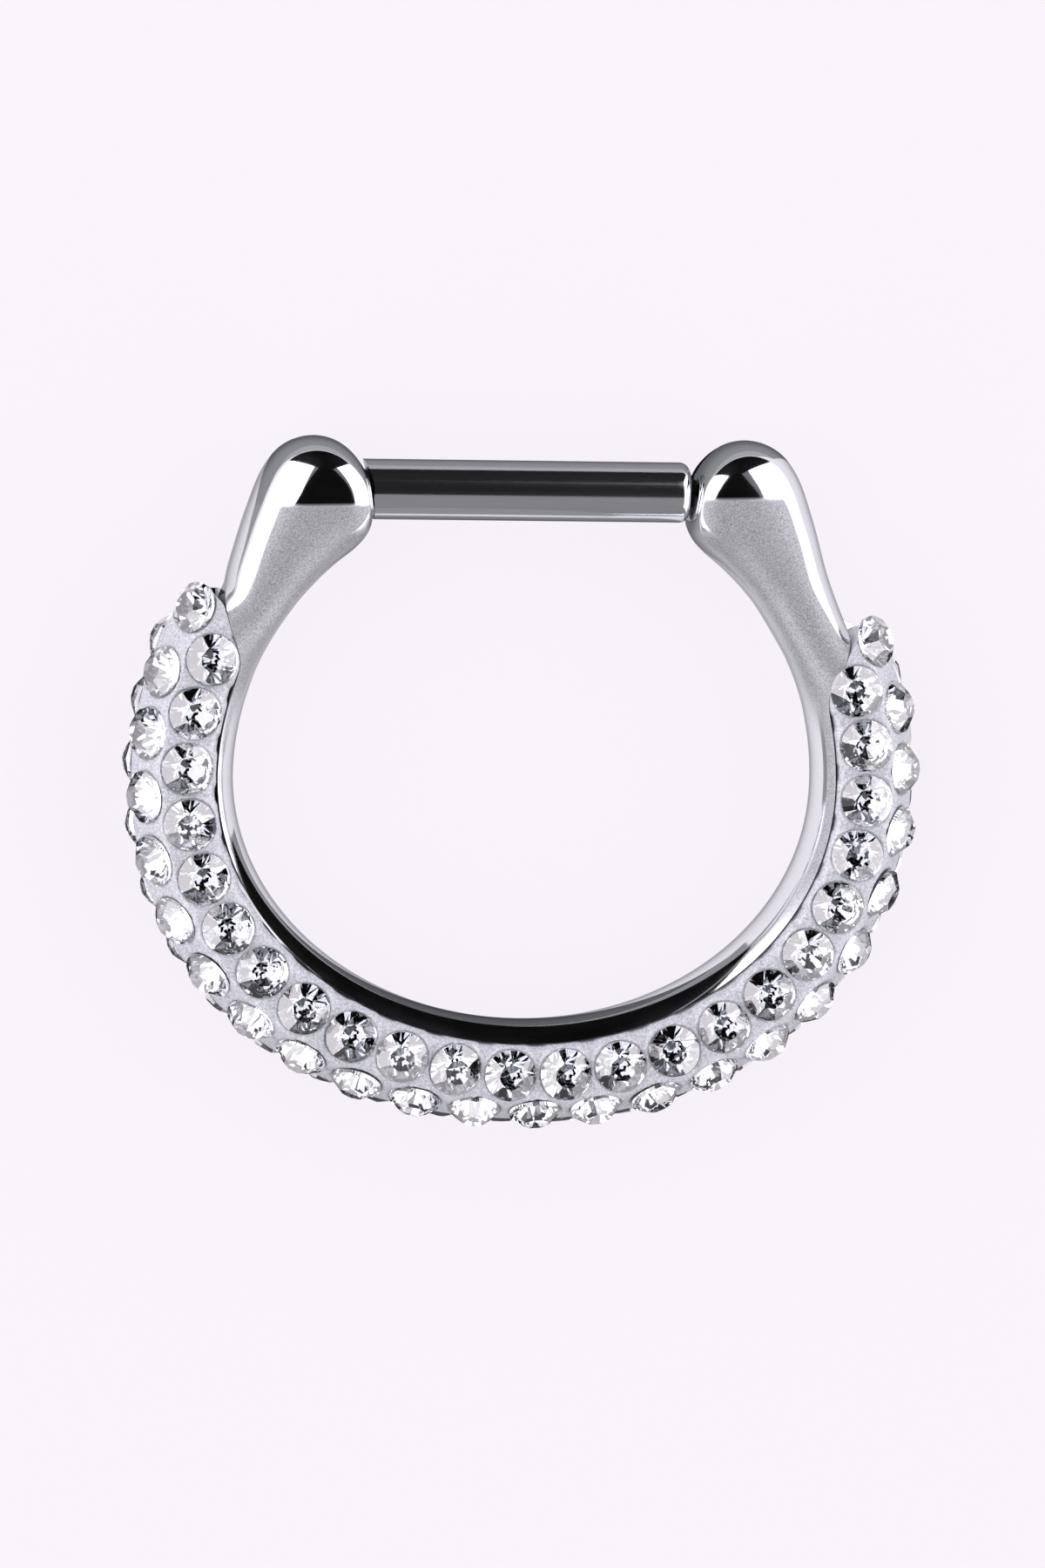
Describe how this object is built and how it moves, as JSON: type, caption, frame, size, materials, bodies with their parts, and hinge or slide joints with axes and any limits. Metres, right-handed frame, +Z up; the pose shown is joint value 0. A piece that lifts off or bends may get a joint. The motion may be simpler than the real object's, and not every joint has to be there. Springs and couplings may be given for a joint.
{
  "type": "clicker ring",
  "caption": "Steel septum clicker ring: a horseshoe with two round knobs, a crystal-set putty band and a hinged straight bar.",
  "frame": {"origin": "on the surface that the ring lies on, under the middle of its outline; the ring lies on its back", "axes": "+X along the bar from the hinge to its free end, +Y from the jewelled band to the bar, +Z up through the ring's hole towards its front"},
  "size_m": [0.016, 0.0138, 0.0025],
  "materials": {
    "polished_steel": "mirror polished stainless steel",
    "silver_putty": "light silver-grey putty with a fine pearly grain",
    "clear_crystal": "clear cut crystal with a silvered back",
    "bar_steel": "mirror polished stainless steel",
    "pin_steel": "plain steel, polished flush"
  },
  "bodies": {
    "ring": {"hoop": "polished_steel", "crystal_bed": "silver_putty", "stones": "clear_crystal", "hinge_pin": "pin_steel"},
    "bar": {"bar": "bar_steel"}
  },
  "joints": [
    {"name": "bar_hinge", "type": "hinge", "parent": "ring", "child": "bar", "pos_m": [-0.00435, 0.00586, 0.00126], "axis": [0, 0, 1], "range_deg": [0, 90]}
  ]
}
